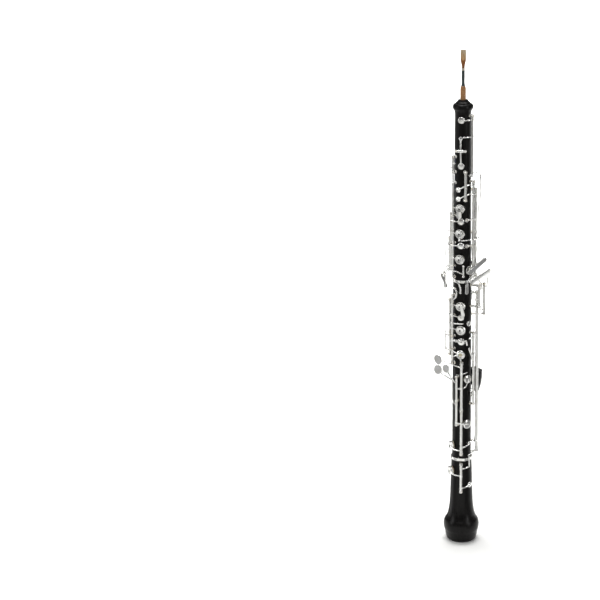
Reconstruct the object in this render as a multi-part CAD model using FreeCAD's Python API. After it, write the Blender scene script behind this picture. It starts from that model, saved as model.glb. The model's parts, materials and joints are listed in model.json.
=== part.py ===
import FreeCAD, Part
import math
import os
from FreeCAD import Rotation, Vector

# A full-system oboe, in millimetres. +Z runs up the bore, z = 0 is the mouth of the bell,
# and the finger holes face -Y. Places on the body are given as an angle round the bore
# (degrees, 0 at the front, growing towards +X), a radius from the bore's axis and a height.

# Heights of the three wooden joints
BODY_TOP = 592.5
MIDDLE_JOINT = 361.0
BELL_JOINT = 118.0

# Outer radii of the wood
UPPER_TOP_RADIUS = 10.2
UPPER_FOOT_RADIUS = 11.35
LOWER_TOP_RADIUS = 11.8
LOWER_FOOT_RADIUS = 12.25
BELL_NECK_RADIUS = 13.2
BELL_BULB_RADIUS = 23.2
BELL_MOUTH_RADIUS = 16.5

# Bore radii, from the reed to the bell
REED_WELL_RADIUS = 3.2
REED_WELL_FLOOR = 571.0
BORE_TOP_RADIUS = 2.2
BORE_MIDDLE_RADIUS = 4.4
BORE_FOOT_RADIUS = 7.2

# Tenons and sockets
MIDDLE_TENON_RADIUS = 7.6
MIDDLE_TENON_LENGTH = 20.0
BELL_TENON_RADIUS = 10.0
BELL_TENON_LENGTH = 15.0
CORK_THICKNESS = 1.0

# Keywork
ROD_RADIUS = 1.0
ROD_CLEARANCE = 0.05
TUBE_RADIUS = 1.6
COLLAR_RADIUS = 2.0
BALL_RADIUS = 2.2
BALL_HALF_WIDTH = 1.5
STEM_RADIUS = 1.2
POST_DEPTH = 3.2
ARM_RADIUS = 0.9
PLATE_THICKNESS = 1.3
SEAT_DEPTH = 1.2
PAD_GAP = 0.15
PAD_THICKNESS = 2.0
CUP_START = 1.0
CUP_TOP = 3.0
END_GAP = 0.1
END_RING_RADIUS = 1.85
END_RING_LENGTH = 0.9
FINGER_DIMPLE_RADIUS = 0.9

# Hinge lines: angle round the bore, radius from its axis
SIDE_OCTAVE_LINE = (68, 14.2)
SHORT_TRILL_LINE = (27, 14.8)
UPPER_STACK_LINE = (-42, 14.8)
C_VENT_LINE = (-58, 15.5)
B_FLAT_VENT_LINE = (-75, 16.3)
UPPER_TRILL_LINE = (76, 15.2)
UPPER_RIGHT_LINE = (97, 16.6)
LOWER_STACK_LINE = (-38, 16.0)
LOWER_LEFT_LINE = (-56, 16.8)
LITTLE_FINGER_LINE = (-11, 16.8)
CENTRE_LINE = (11, 17.4)
C_LINE = (72, 17.0)
B_LINK_LINE = (92, 19.0)
B_FLAT_LINK_LINE = (118, 20.4)
B_LEVER_LINE = (78, 23.8)
B_FLAT_LEVER_LINE = (105, 28.0)
BELL_LINE = (11, 18.0)

# Heights of the posts along each hinge line
UPPER_POSTS = (
    (SIDE_OCTAVE_LINE, (497.0, 573.5)),
    (SHORT_TRILL_LINE, (466.5, 502.5)),
    (UPPER_STACK_LINE, (365.0, 379.5, 410.0, 445.5, 488.0, 501.8, 521.5)),
    (C_VENT_LINE, (374.0, 447.5)),
    (B_FLAT_VENT_LINE, (372.0, 414.5)),
    (UPPER_TRILL_LINE, (364.5, 489.5)),
    (UPPER_RIGHT_LINE, (364.5, 400.5, 422.5, 478.5)),
)
LOWER_POSTS = (
    (LOWER_STACK_LINE, (249.5, 269.0, 286.0, 313.5, 340.5)),
    (LOWER_LEFT_LINE, (260.5, 291.2, 334.5)),
    (LITTLE_FINGER_LINE, (165.7, 199.0, 232.0)),
    (CENTRE_LINE, (125.0, 185.0, 250.0)),
    (C_LINE, (193.0, 290.0)),
    (B_LINK_LINE, (139.5, 343.5)),
    (B_FLAT_LINK_LINE, (122.5, 340.0)),
    (B_LEVER_LINE, (325.5, 353.0)),
    (B_FLAT_LEVER_LINE, (313.0, 353.0)),
)
BELL_POSTS = ((BELL_LINE, (72.5, 110.0)),)
GUIDE_HEIGHTS = (406.0, 440.0)

# The first octave key rocks on a pin that lies across the body
ROCKER_ANGLE = 3
ROCKER_RADIUS = 14.8
ROCKER_HEIGHT = 530.0
ROCKER_POST_SPACING = 11.3

# Thumb rest
STRAP_RING_RADIUS = 2.2
STRAP_RING_HEIGHT = 208.5
THUMB_SCREW_HEIGHTS = (215.2, 234.5)

# How far each standing-open key is turned up from its tone hole, in degrees, with the
# turns of the links and levers that shut it
PLATE_OPEN = 9.0
LOW_B_OPEN = 6.5
B_LINK_TURN = 5.8
B_LEVER_TURN = 5.4
LOW_B_FLAT_OPEN = 6.5
B_FLAT_LINK_TURN = 3.6
B_FLAT_LEVER_TURN = 3.4

# Round pads: angle, height, pad radius, tone hole radius
OCTAVE_2_HOLE = (3, 568.5, 3.8, 0.9)
OCTAVE_1_HOLE = (3, 510.0, 3.6, 0.9)
TRILL_UPPER_HOLE = (-15, 479.5, 3.1, 1.5)
TRILL_LOWER_HOLE = (-15, 467.5, 3.1, 1.5)
B_HOLE = (1, 455.5, 5.6, 1.8)
C_VENT_HOLE = (3, 438.5, 3.9, 1.8)
A_HOLE = (1, 422.8, 5.8, 2.2)
B_FLAT_VENT_HOLE = (3, 406.8, 3.9, 1.9)
G_HOLE = (1, 389.3, 5.8, 2.4)
G_SHARP_HOLE = (120, 381.0, 4.0, 2.3)
F_SHARP_HOLE = (6, 327.0, 5.8, 2.6)
F_SHARP_VENT_HOLE = (6, 311.6, 3.7, 1.6)
E_HOLE = (8, 295.1, 5.8, 2.7)
F_RESONANCE_HOLE = (56, 303.0, 3.4, 1.5)
F_HOLE = (9, 279.0, 4.2, 2.4)
D_HOLE = (8, 262.0, 5.4, 2.9)
E_FLAT_HOLE = (49, 227.4, 5.2, 3.2)
C_HOLE = (105, 205.0, 4.6, 3.0)
C_SHARP_HOLE = (46, 165.5, 5.6, 3.4)
LOW_B_HOLE = (-56, 134.0, 5.4, 3.6)
LOW_B_FLAT_HOLE = (-52, 99.0, 5.4, 3.8)
BELL_VENT_HOLE = (58, 80.5, 3.4, 1.6)


# ---------------------------------------------------------------- places and basic solids
def polar(angle, radius, height):
    """Point at an angle round the bore, a radius from its axis and a height."""
    turn = math.radians(angle)
    return Vector(radius * math.sin(turn), -radius * math.cos(turn), height)


def blend(low, high, share):
    return low + (high - low) * share


def wood_radius(height):
    """Outer radius of the wood where keywork is mounted."""
    if height > MIDDLE_JOINT:
        share = (height - MIDDLE_JOINT) / (575.0 - MIDDLE_JOINT)
        return blend(UPPER_FOOT_RADIUS, UPPER_TOP_RADIUS, share)
    if height > BELL_JOINT:
        share = (height - BELL_JOINT) / (MIDDLE_JOINT - BELL_JOINT)
        return blend(LOWER_FOOT_RADIUS, LOWER_TOP_RADIUS, share)
    return blend(14.5, BELL_NECK_RADIUS, (height - 68.0) / (BELL_JOINT - 68.0))


def turned(points):
    """Solid of revolution about the +Z axis from (radius, height) points."""
    outline = [Vector(radius, 0, height) for radius, height in points]
    face = Part.Face(Part.makePolygon(outline + outline[:1]))
    return face.revolve(Vector(0, 0, 0), Vector(0, 0, 1), 360)


def outward(shape, angle, height):
    """Stand a shape drawn along +Z so that +Z points out of the body and +Y points up."""
    stood = shape.copy()
    stood.rotate(Vector(0, 0, 0), Vector(1, 0, 0), 90)
    stood.rotate(Vector(0, 0, 0), Vector(0, 0, 1), angle)
    stood.translate(Vector(0, 0, height))
    return stood


def peg(angle, height, start, end, radius):
    """Round bar pointing out of the body between two distances from the bore's axis."""
    bar = Part.makeCylinder(radius, end - start, Vector(0, 0, start))
    return outward(bar, angle, height)


def upright(line, low, high, radius):
    """Cylinder along a hinge line."""
    angle, distance = line
    return Part.makeCylinder(radius, high - low, polar(angle, distance, low))


def fuse(pieces):
    pieces = list(pieces)
    if len(pieces) == 1:
        return pieces[0]
    return pieces[0].multiFuse(pieces[1:]).removeSplitter()


# ---------------------------------------------------------------- arms, plates, cups, pads
def bar(start, end, radius):
    reach = end - start
    return Part.makeCylinder(radius, reach.Length, start, reach)


def bend(start, middle, end, radius):
    """Round bar bent along the circular arc through three points."""
    arc = Part.Arc(start, middle, end)
    circle = Part.Circle(start, arc.tangent(arc.FirstParameter)[0], radius)
    profile = Part.Face(Part.Wire(circle.toShape()))
    return Part.Wire(arc.toShape()).makePipe(profile)


def arm(points, radius=ARM_RADIUS):
    """Key arm through (angle, radius, height) points, wrapping round the body between them."""
    pieces = [Part.makeSphere(radius, polar(*points[0]))]
    for near, far in zip(points, points[1:]):
        start = polar(*near)
        end = polar(*far)
        middle = polar(*[(a + b) / 2 for a, b in zip(near, far)])
        sag = (middle - (start + end) * 0.5).Length
        if sag < 0.05:
            pieces.append(bar(start, end, radius))
        else:
            pieces.append(bend(start, middle, end, radius))
        pieces.append(Part.makeSphere(radius, end))
    return fuse(pieces)


def touch(angle, distance, centre, length, width, tilt=0.0, lean=0.0, thickness=PLATE_THICKNESS):
    """Finger touch: a plate with round ends. centre is (sideways, height) in its own plane;
    tilt turns it in that plane, and lean tips its upper end outwards."""
    straight = max(length - width, 0.01) / 2
    half = width / 2
    left_top = Vector(-half, straight, 0)
    right_top = Vector(half, straight, 0)
    left_foot = Vector(-half, -straight, 0)
    right_foot = Vector(half, -straight, 0)
    edges = [
        Part.LineSegment(right_foot, right_top).toShape(),
        Part.Arc(right_top, Vector(0, straight + half, 0), left_top).toShape(),
        Part.LineSegment(left_top, left_foot).toShape(),
        Part.Arc(left_foot, Vector(0, -straight - half, 0), right_foot).toShape(),
    ]
    plate = Part.Face(Part.Wire(edges)).extrude(Vector(0, 0, thickness))
    plate = plate.makeFillet(0.35, [edge for edge in plate.Edges if flat_edge(edge)])
    plate.rotate(Vector(0, 0, 0), Vector(0, 0, 1), tilt)
    plate.rotate(Vector(0, 0, 0), Vector(1, 0, 0), lean)
    plate.translate(Vector(centre[0], 0, distance))
    return outward(plate, angle, centre[1])


def flat_edge(edge):
    """True for an edge that lies in a plane of constant z."""
    box = edge.BoundBox
    return box.ZLength < 1e-6


def seat_distance(hole):
    return wood_radius(hole[1]) - SEAT_DEPTH


def pad(hole, thickness=PAD_THICKNESS):
    """Round pad that rests just over its tone hole."""
    angle, height, radius, _ = hole
    start = seat_distance(hole) + PAD_GAP
    return peg(angle, height, start, start + thickness, radius)


def cup(hole, dome=0.5):
    """Shallow cup over a pad, with a low domed back."""
    angle, height, pad_radius, _ = hole
    start = seat_distance(hole) + PAD_GAP
    radius = pad_radius + 0.45
    outline = [
        (0, start + PAD_THICKNESS),
        (pad_radius, start + PAD_THICKNESS),
        (pad_radius, start + CUP_START),
        (radius, start + CUP_START),
        (radius, start + CUP_TOP - 0.5),
        (radius - 0.35, start + CUP_TOP - 0.1),
        (radius * 0.72, start + CUP_TOP + dome * 0.45),
        (radius * 0.4, start + CUP_TOP + dome * 0.85),
        (0, start + CUP_TOP + dome),
    ]
    return outward(turned(outline), angle, height)


def finger_plate(hole, touch_radius):
    """Pad cup with a raised lip, and a dished finger disc standing in it, nearer the hinge."""
    angle, height, pad_radius, _ = hole
    start = seat_distance(hole) + PAD_GAP
    radius = pad_radius + 0.45
    cup_outline = [
        (0, start + PAD_THICKNESS),
        (pad_radius, start + PAD_THICKNESS),
        (pad_radius, start + CUP_START),
        (radius, start + CUP_START),
        (radius, start + 2.9),
        (radius - 0.3, start + 3.2),
        (radius - 0.7, start + 3.2),
        (radius - 0.95, start + 2.9),
        (radius - 0.95, start + 2.5),
        (0, start + 2.5),
    ]
    disc_outline = [
        (0, start + 2.4),
        (touch_radius - 0.7, start + 2.4),
        (touch_radius - 0.7, start + 3.4),
        (touch_radius - 0.1, start + 3.7),
        (touch_radius, start + 4.0),
        (touch_radius - 0.1, start + 4.35),
        (touch_radius - 0.5, start + 4.5),
        (touch_radius * 0.6, start + 4.25),
        (FINGER_DIMPLE_RADIUS, start + 4.1),
        (FINGER_DIMPLE_RADIUS, start + 3.0),
        (0, start + 3.0),
    ]
    disc = turned(disc_outline)
    disc.translate(Vector(-0.7, 0, 0))
    return outward(turned(cup_outline).fuse(disc), angle, height)


def cup_back(hole, above=CUP_TOP):
    """Distance from the bore's axis to the back of a cup."""
    return seat_distance(hole) + PAD_GAP + above


def cup_arm(line, height, hole, over=None, reach=0.0, radius=ARM_RADIUS):
    """Arm from a hinge tube to the back of a cup, passing over a neighbour if need be."""
    line_angle, line_distance = line
    hole_angle, hole_height, pad_radius, _ = hole
    landing = cup_back(hole) + 0.1
    side = math.copysign(1, line_angle - hole_angle)
    edge_angle = hole_angle + side * math.degrees((pad_radius + 0.2) / landing)
    points = [(line_angle, line_distance, height)]
    if over:
        points.append(over)
    points.append((edge_angle, landing + 0.35, blend(height, hole_height, 0.7)))
    points.append((hole_angle - side * reach, landing, hole_height))
    return arm(points, radius)


def tube(line, low, high):
    return upright(line, low, high, TUBE_RADIUS)


def collar(line, height):
    """Thicker ring on a tube where an arm is brazed on."""
    return upright(line, height - 1.1, height + 1.1, COLLAR_RADIUS)


def hinged(line, low, high, pieces):
    """Fuse a key to its tube and bore the tube for the steel rod."""
    rings = [
        upright(line, low, low + END_RING_LENGTH, END_RING_RADIUS),
        upright(line, high - END_RING_LENGTH, high, END_RING_RADIUS),
    ]
    solid = fuse([tube(line, low, high)] + rings + list(pieces))
    return solid.cut(upright(line, low - 1, high + 1, ROD_RADIUS + ROD_CLEARANCE))


def with_pad(key, hole):
    """Key together with its small cork pad, as two solids."""
    return Part.makeCompound([key.cut(pad(hole)), pad(hole)])


def turned_open(shape, line, degrees):
    """Turn a shape about a hinge line."""
    opened = shape.copy()
    opened.rotate(polar(line[0], line[1], 0), Vector(0, 0, 1), degrees)
    return opened


def between(post_low, post_high):
    """Tube ends that just clear the posts at both ends."""
    return post_low + BALL_HALF_WIDTH + END_GAP, post_high - BALL_HALF_WIDTH - END_GAP


# ---------------------------------------------------------------- posts, rods, springs
def post(line, height):
    """Ball-headed post, screwed into the wood, with flats where the tubes meet it."""
    angle, distance = line
    surface = wood_radius(height)
    stem = peg(angle, height, surface - POST_DEPTH, distance, STEM_RADIUS)
    base = peg(angle, height, surface - 0.9, surface + 0.6, STEM_RADIUS + 1.0)
    ball = Part.makeSphere(BALL_RADIUS, polar(angle, distance, height))
    half = BALL_HALF_WIDTH
    flats = upright(line, height - half, height + half, BALL_RADIUS + 1)
    solid = fuse([stem, base, ball.common(flats)])
    return solid.cut(upright(line, height - 4, height + 4, ROD_RADIUS))


def post_row(table):
    return [post(line, height) for line, heights in table for height in heights]


def guide(line, height, foot_angle):
    """Teardrop lug screwed to the wood, with an eye that steadies a long tube."""
    angle, distance = line
    surface = wood_radius(height)
    foot = peg(foot_angle, height, surface - 0.5, surface + 1.1, 2.6)
    strap = arm([(foot_angle, surface + 0.3, height), (blend(foot_angle, angle, 0.6), surface + 1.4, height),
                 (angle - 8, distance, height)], 0.9)
    eye = upright(line, height - 1.2, height + 1.2, TUBE_RADIUS + 0.9)
    solid = fuse([foot, strap, eye])
    solid = solid.cut(upright(line, height - 4, height + 4, TUBE_RADIUS + 0.12))
    return solid.cut(peg(foot_angle, height, surface + 0.3, surface + 3, 0.9))


def rocker_pin_line(shape):
    """Lay a shape drawn along +Z, about its middle, across the body at the rocker."""
    laid = shape.copy()
    laid.rotate(Vector(0, 0, 0), Vector(0, 1, 0), 90)
    laid.rotate(Vector(0, 0, 0), Vector(0, 0, 1), ROCKER_ANGLE)
    laid.translate(polar(ROCKER_ANGLE, ROCKER_RADIUS, ROCKER_HEIGHT))
    return laid


def rocker_posts():
    """Pair of posts that hold the rocker's cross pin."""
    posts = []
    pin = rocker_pin_line(Part.makeCylinder(ROD_RADIUS, 30, Vector(0, 0, -15)))
    for side in (-1, 1):
        offset = side * ROCKER_POST_SPACING / 2
        stem = Part.makeCylinder(STEM_RADIUS, ROCKER_RADIUS - 6.0, Vector(offset, 0, 6.0))
        stem = outward(stem, ROCKER_ANGLE, ROCKER_HEIGHT)
        ball = Part.makeSphere(2.0, Vector(offset, 0, ROCKER_RADIUS))
        slab = Part.makeBox(2.8, 8, 8, Vector(offset - 1.4, -4, ROCKER_RADIUS - 4))
        head = outward(ball.common(slab), ROCKER_ANGLE, ROCKER_HEIGHT)
        posts.append(fuse([stem, head]).cut(pin))
    return posts


def upper_posts():
    guides = [guide(UPPER_TRILL_LINE, height, 40) for height in GUIDE_HEIGHTS]
    return Part.makeCompound(post_row(UPPER_POSTS) + rocker_posts() + guides)


def lower_posts():
    return Part.makeCompound(post_row(LOWER_POSTS))


def bell_posts():
    return Part.makeCompound(post_row(BELL_POSTS))


def hinge_rods():
    """Steel rods through the posts, each with a slotted head."""
    rods = []
    for line, heights in UPPER_POSTS + LOWER_POSTS + BELL_POSTS:
        low = min(heights) - BALL_HALF_WIDTH
        high = max(heights) + BALL_HALF_WIDTH
        rod = upright(line, low, high + 0.5, ROD_RADIUS)
        angle, distance = line
        slot = Part.makeBox(3, 0.3, 0.4, Vector(-1.5, -0.15, high + 0.2))
        slot.translate(polar(angle, distance, 0))
        rods.append(rod.cut(slot))
    half = ROCKER_POST_SPACING / 2 + 1.4
    rods.append(rocker_pin_line(Part.makeCylinder(ROD_RADIUS, 2 * half, Vector(0, 0, -half))))
    return Part.makeCompound(rods)


def needle_springs():
    """Needle springs lying under the tubes, each fixed in a post."""
    springs = []
    for line, heights in UPPER_POSTS + LOWER_POSTS:
        angle, distance = line
        for height in heights[1:]:
            radius = wood_radius(height - 8) + 0.8
            if distance - radius < TUBE_RADIUS + 0.5:
                continue
            foot = polar(angle, radius, height - 9)
            springs.append(bar(foot, polar(angle, radius, height - STEM_RADIUS), 0.25))
    return Part.makeCompound(springs)


# ---------------------------------------------------------------- wood
def tone_holes(shape, holes):
    """Cut a flat seat and a tone hole for each pad."""
    for hole in holes:
        angle, height, pad_radius, hole_radius = hole
        seat = seat_distance(hole)
        shape = shape.cut(peg(angle, height, seat, seat + 8, pad_radius + 0.9))
        shape = shape.cut(peg(angle, height, 0, seat + 1, hole_radius))
    return shape


def arc_points(centre, radii, start, end, steps):
    """Points on an elliptic arc, angles in degrees."""
    points = []
    for step in range(steps + 1):
        turn = math.radians(blend(start, end, step / steps))
        points.append((centre[0] + radii[0] * math.cos(turn), centre[1] + radii[1] * math.sin(turn)))
    return points


def upper_joint():
    """Upper joint with its crown, neck, reed well, conical bore and tenon."""
    foot = MIDDLE_JOINT - MIDDLE_TENON_LENGTH
    bead = arc_points((9.4, 583.6), (3.6, 4.2), -48, 72, 10)
    outline = [
        (BORE_MIDDLE_RADIUS, foot),
        (MIDDLE_TENON_RADIUS, foot),
        (MIDDLE_TENON_RADIUS, foot + 3),
        (MIDDLE_TENON_RADIUS - CORK_THICKNESS, foot + 3),
        (MIDDLE_TENON_RADIUS - CORK_THICKNESS, MIDDLE_JOINT - 3),
        (MIDDLE_TENON_RADIUS, MIDDLE_JOINT - 3),
        (MIDDLE_TENON_RADIUS, MIDDLE_JOINT),
        (UPPER_FOOT_RADIUS - 0.3, MIDDLE_JOINT),
        (UPPER_FOOT_RADIUS, MIDDLE_JOINT + 0.3),
        (UPPER_TOP_RADIUS, 575.0),
        (10.35, 577.0),
        (10.75, 578.6),
        (11.3, 579.7),
    ]
    outline += bead
    outline += [
        (9.2, 587.8),
        (8.9, 589.2),
        (8.1, 589.9),
        (6.8, 590.3),
        (6.5, BODY_TOP - 0.8),
        (5.8, BODY_TOP),
        (REED_WELL_RADIUS, BODY_TOP),
        (REED_WELL_RADIUS, REED_WELL_FLOOR),
        (BORE_TOP_RADIUS, REED_WELL_FLOOR),
    ]
    holes = (
        OCTAVE_2_HOLE, OCTAVE_1_HOLE, TRILL_UPPER_HOLE, TRILL_LOWER_HOLE, B_HOLE,
        C_VENT_HOLE, A_HOLE, B_FLAT_VENT_HOLE, G_HOLE, G_SHARP_HOLE,
    )
    return tone_holes(turned(outline), holes)


def lower_joint():
    """Lower joint with a socket at its head and a tenon at its foot."""
    foot = BELL_JOINT - BELL_TENON_LENGTH
    socket_floor = MIDDLE_JOINT - MIDDLE_TENON_LENGTH - 0.2
    outline = [
        (BORE_FOOT_RADIUS, foot),
        (BELL_TENON_RADIUS, foot),
        (BELL_TENON_RADIUS, foot + 3),
        (BELL_TENON_RADIUS - CORK_THICKNESS, foot + 3),
        (BELL_TENON_RADIUS - CORK_THICKNESS, BELL_JOINT - 3),
        (BELL_TENON_RADIUS, BELL_JOINT - 3),
        (BELL_TENON_RADIUS, BELL_JOINT),
        (LOWER_FOOT_RADIUS, BELL_JOINT),
        (LOWER_TOP_RADIUS, MIDDLE_JOINT - 4),
        (LOWER_TOP_RADIUS - 1.2, MIDDLE_JOINT - 4),
        (LOWER_TOP_RADIUS - 1.2, MIDDLE_JOINT),
        (MIDDLE_TENON_RADIUS, MIDDLE_JOINT),
        (MIDDLE_TENON_RADIUS, socket_floor),
        (BORE_MIDDLE_RADIUS + 0.1, socket_floor),
    ]
    holes = (
        F_SHARP_HOLE, F_SHARP_VENT_HOLE, E_HOLE, F_RESONANCE_HOLE, F_HOLE, D_HOLE,
        E_FLAT_HOLE, C_HOLE, C_SHARP_HOLE, LOW_B_HOLE,
    )
    return tone_holes(turned(outline), holes)


def bell():
    """Bell: slim neck, round bulb and drawn-in mouth, flared inside."""
    socket_floor = BELL_JOINT - BELL_TENON_LENGTH - 0.2
    outline = [
        (BELL_MOUTH_RADIUS, 0.0),
        (17.6, 0.0),
    ]
    outline += arc_points((17.2, 7.2), (3.4, 6.6), -70, -18, 5)
    outline += arc_points((19.6, 20.5), (BELL_BULB_RADIUS - 19.6, 9.5), -50, 62, 12)
    outline += [
        (19.9, 31.0),
        (18.4, 34.0),
        (17.1, 38.5),
        (16.1, 44.0),
        (15.4, 50.0),
        (14.9, 57.0),
        (14.5, 68.0),
        (BELL_NECK_RADIUS, BELL_JOINT - 4),
        (BELL_NECK_RADIUS - 1.0, BELL_JOINT - 4),
        (BELL_NECK_RADIUS - 1.0, BELL_JOINT),
        (BELL_TENON_RADIUS, BELL_JOINT),
        (BELL_TENON_RADIUS, socket_floor),
        (BORE_FOOT_RADIUS + 0.1, socket_floor),
        (9.2, 66.0),
        (11.8, 36.0),
        (15.0, 14.0),
        (BELL_MOUTH_RADIUS, 6.0),
    ]
    return tone_holes(turned(outline), (LOW_B_FLAT_HOLE, BELL_VENT_HOLE))


def ring_band(inner, outer, low, high):
    """Metal ring with softened outer corners."""
    bevel = 0.35
    return turned([
        (inner, low),
        (outer - bevel, low),
        (outer, low + bevel),
        (outer, high - bevel),
        (outer - bevel, high),
        (inner, high),
    ])


def socket_rings():
    """Metal rings round the mouths of the two sockets."""
    middle = ring_band(
        LOWER_TOP_RADIUS - 1.2, LOWER_TOP_RADIUS + 0.5, MIDDLE_JOINT - 4, MIDDLE_JOINT)
    foot = ring_band(BELL_NECK_RADIUS - 1.0, BELL_NECK_RADIUS + 0.8, BELL_JOINT - 4, BELL_JOINT)
    return Part.makeCompound([middle, foot])


def tenon_corks():
    """Cork bands in the grooves of both tenons."""
    pairs = (
        (MIDDLE_TENON_RADIUS, MIDDLE_JOINT - MIDDLE_TENON_LENGTH + 3, MIDDLE_JOINT - 3),
        (BELL_TENON_RADIUS, BELL_JOINT - BELL_TENON_LENGTH + 3, BELL_JOINT - 3),
    )
    bands = []
    for radius, low, high in pairs:
        inner = radius - CORK_THICKNESS
        bands.append(turned([(inner, low), (radius, low), (radius, high), (inner, high)]))
    return Part.makeCompound(bands)


# ---------------------------------------------------------------- reed
def reed_staple():
    """Conical metal tube that the cane is tied on."""
    return turned([(1.5, 573), (2.2, 573), (1.35, 619), (1.0, 619)])


def reed_cork():
    """Cork sleeve that seats the reed in its well."""
    return turned([(2.2, 573), (3.2, 573), (3.2, 608.6), (2.8, 609.5), (1.55, 609.5), (1.55, 608.5)])


def reed_binding():
    """Thread wound round the staple and the foot of the cane."""
    outline = [(1.62, 609.5), (2.7, 609.5), (1.95, 613.5)]
    turns = 12
    for turn in range(turns):
        low = 613.5 + turn * 1.5
        outline += [(1.95, low + 0.15), (2.12, low + 0.75), (1.95, low + 1.35)]
    outline += [(1.75, 631.8), (1.62, 631.8), (1.62, 619.5)]
    return turned(outline).cut(reed_staple()).cut(reed_blades())


def reed_blades():
    """The two cane blades, round at the tie and flat at the tip, with the slot between."""
    sections = []
    for height, half_width, half_depth in (
        (619.5, 1.62, 1.60),
        (632.0, 1.75, 1.70),
        (637.0, 2.30, 1.55),
        (643.0, 3.15, 1.20),
        (649.0, 3.40, 0.80),
        (655.0, 3.50, 0.35),
    ):
        ellipse = Part.Ellipse(Vector(0, 0, height), half_width, half_depth)
        sections.append(Part.Wire(ellipse.toShape()))
    cane = Part.makeLoft(sections, True, False)
    slot = Part.makeBox(12, 0.12, 50, Vector(-6, -0.06, 612))
    throat = Part.makeCone(1.1, 0.3, 26, Vector(0, 0, 619.5))
    return cane.cut(slot).cut(throat)


# ---------------------------------------------------------------- thumb rest
def thumb_rest_plate():
    """Curved metal plate screwed to the back, with a strap ring and an arm for the saddle."""
    surface = wood_radius(222)
    shell = Part.makeCylinder(surface + 1.4, 32, Vector(0, 0, 206))
    shell = shell.cut(Part.makeCylinder(surface + 0.05, 34, Vector(0, 0, 205)))
    wedge = Part.makeBox(11, 12, 34, Vector(-5.5, 8, 205))
    plate = shell.common(wedge)
    pillar = Part.makeBox(5, 7.0, 12, Vector(-2.5, surface + 0.9, 218))
    ring = ring_band(STRAP_RING_RADIUS, STRAP_RING_RADIUS + 1.6, -0.8, 0.8)
    ring.rotate(Vector(0, 0, 0), Vector(0, 1, 0), 90)
    ring.translate(Vector(0, surface + 4.4, STRAP_RING_HEIGHT))
    solid = fuse([plate, pillar, ring])
    return solid.cut(Part.makeCompound([thumb_screw_body(height) for height in THUMB_SCREW_HEIGHTS]))


def thumb_screw_body(height):
    surface = wood_radius(height)
    shank = Part.makeCylinder(0.9, 7.0, Vector(0, surface - 5.6, height), Vector(0, 1, 0))
    head = Part.makeCylinder(1.7, 0.9, Vector(0, surface + 1.0, height), Vector(0, 1, 0))
    return fuse([shank, head])


def thumb_rest_screws():
    """Two slotted screws holding the thumb rest plate."""
    screws = []
    for height in THUMB_SCREW_HEIGHTS:
        surface = wood_radius(height)
        slot = Part.makeBox(4, 0.4, 0.5, Vector(-2, surface + 1.6, height - 0.25))
        screws.append(thumb_screw_body(height).cut(slot))
    return Part.makeCompound(screws)


def thumb_rest_saddle():
    """Black saddle for the right thumb, wide at the top and drawn down on one side."""
    outline = [
        Vector(-10, 0, 217), Vector(-9, 0, 229), Vector(13, 0, 234), Vector(21.8, 0, 230),
        Vector(21.6, 0, 222), Vector(20.5, 0, 212), Vector(17.2, 0, 201), Vector(13.5, 0, 200),
        Vector(9, 0, 210), Vector(0, 0, 216),
    ]
    face = Part.Face(Part.makePolygon(outline + outline[:1]))
    slab = face.extrude(Vector(0, 9, 0))
    slab.translate(Vector(0, 17.4, 0))
    slab = slab.makeFillet(1.6, [edge for edge in slab.Edges if edge.BoundBox.YLength < 0.01])
    return slab.cut(thumb_rest_plate())


# ---------------------------------------------------------------- keys of the upper joint
def side_octave_key():
    """Second octave key: long tube, vent cup at the top, touch for the side of the finger."""
    line = SIDE_OCTAVE_LINE
    low, high = between(497.0, 573.5)
    pieces = [
        cup(OCTAVE_2_HOLE),
        cup_arm(line, 568.5, OCTAVE_2_HOLE),
        collar(line, 568.5),
        collar(line, 547.6),
        arm([(68, 14.2, 547.6), (40, 15.6, 547.6), (16, 15.9, 547.6)], 0.8),
        arm([(68, 14.2, 501.0), (82, 19.5, 501.0), (88, 22.6, 499.0), (89, 23.0, 492.0)]),
        touch(90, 23.0, (1.5, 481.5), 34, 8.5),
    ]
    return with_pad(hinged(line, low, high, pieces), OCTAVE_2_HOLE)


def octave_rocker():
    """First octave key: see-saw on a cross pin, hooked eye at the top, vent cup at the foot."""
    angle = ROCKER_ANGLE
    hub = rocker_pin_line(Part.makeCylinder(1.9, 7.6, Vector(0, 0, -3.8)))
    ring = Part.makeTorus(1.7, 0.75, Vector(0, 0, 14.1))
    eye = outward(ring, angle - 1, 545.8)
    back = cup_back(OCTAVE_1_HOLE) + 0.1
    beam = arm([(angle - 1, 14.1, 543.6), (angle, 15.4, 536), (angle, 15.2, 530), (angle, 15.0, 520),
                (angle, back, 511.0)], 1.0)
    bore = Part.makeCylinder(ROD_RADIUS + ROD_CLEARANCE, 20, Vector(0, 0, -10))
    solid = fuse([hub, eye, beam, cup(OCTAVE_1_HOLE)]).cut(rocker_pin_line(bore))
    return with_pad(solid, OCTAVE_1_HOLE)


def thumb_octave_key():
    """Thumb lever at the back, with a finger that lifts the foot of the rocker."""
    line = UPPER_STACK_LINE
    low, high = between(501.8, 521.5)
    pieces = [
        collar(line, 513.0),
        arm([(-42, 14.8, 513.0), (-28, 15.4, 513.6), (-14, 12.2, 515.4), (1, 11.8, 516.0)], 0.8),
        arm([(-42, 14.8, 508.0), (-80, 15.5, 506.0), (-125, 15.6, 503.0), (-160, 15.0, 500.0)]),
        touch(180, 14.4, (0, 496.0), 17, 10),
    ]
    return hinged(line, low, high, pieces)


def trill_pad_lever(hole, arm_height, tail_height, low, high):
    """Short see-saw on the front rod: trill pad at one end, tail at the other."""
    line = SHORT_TRILL_LINE
    pieces = [
        cup(hole, 0.8),
        cup_arm(line, arm_height, hole, reach=3.0),
        arm([(27, 14.8, arm_height), (44, 14.6, tail_height), (56, 14.4, tail_height)]),
        collar(line, arm_height),
    ]
    return with_pad(hinged(line, low, high, pieces), hole)


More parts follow.
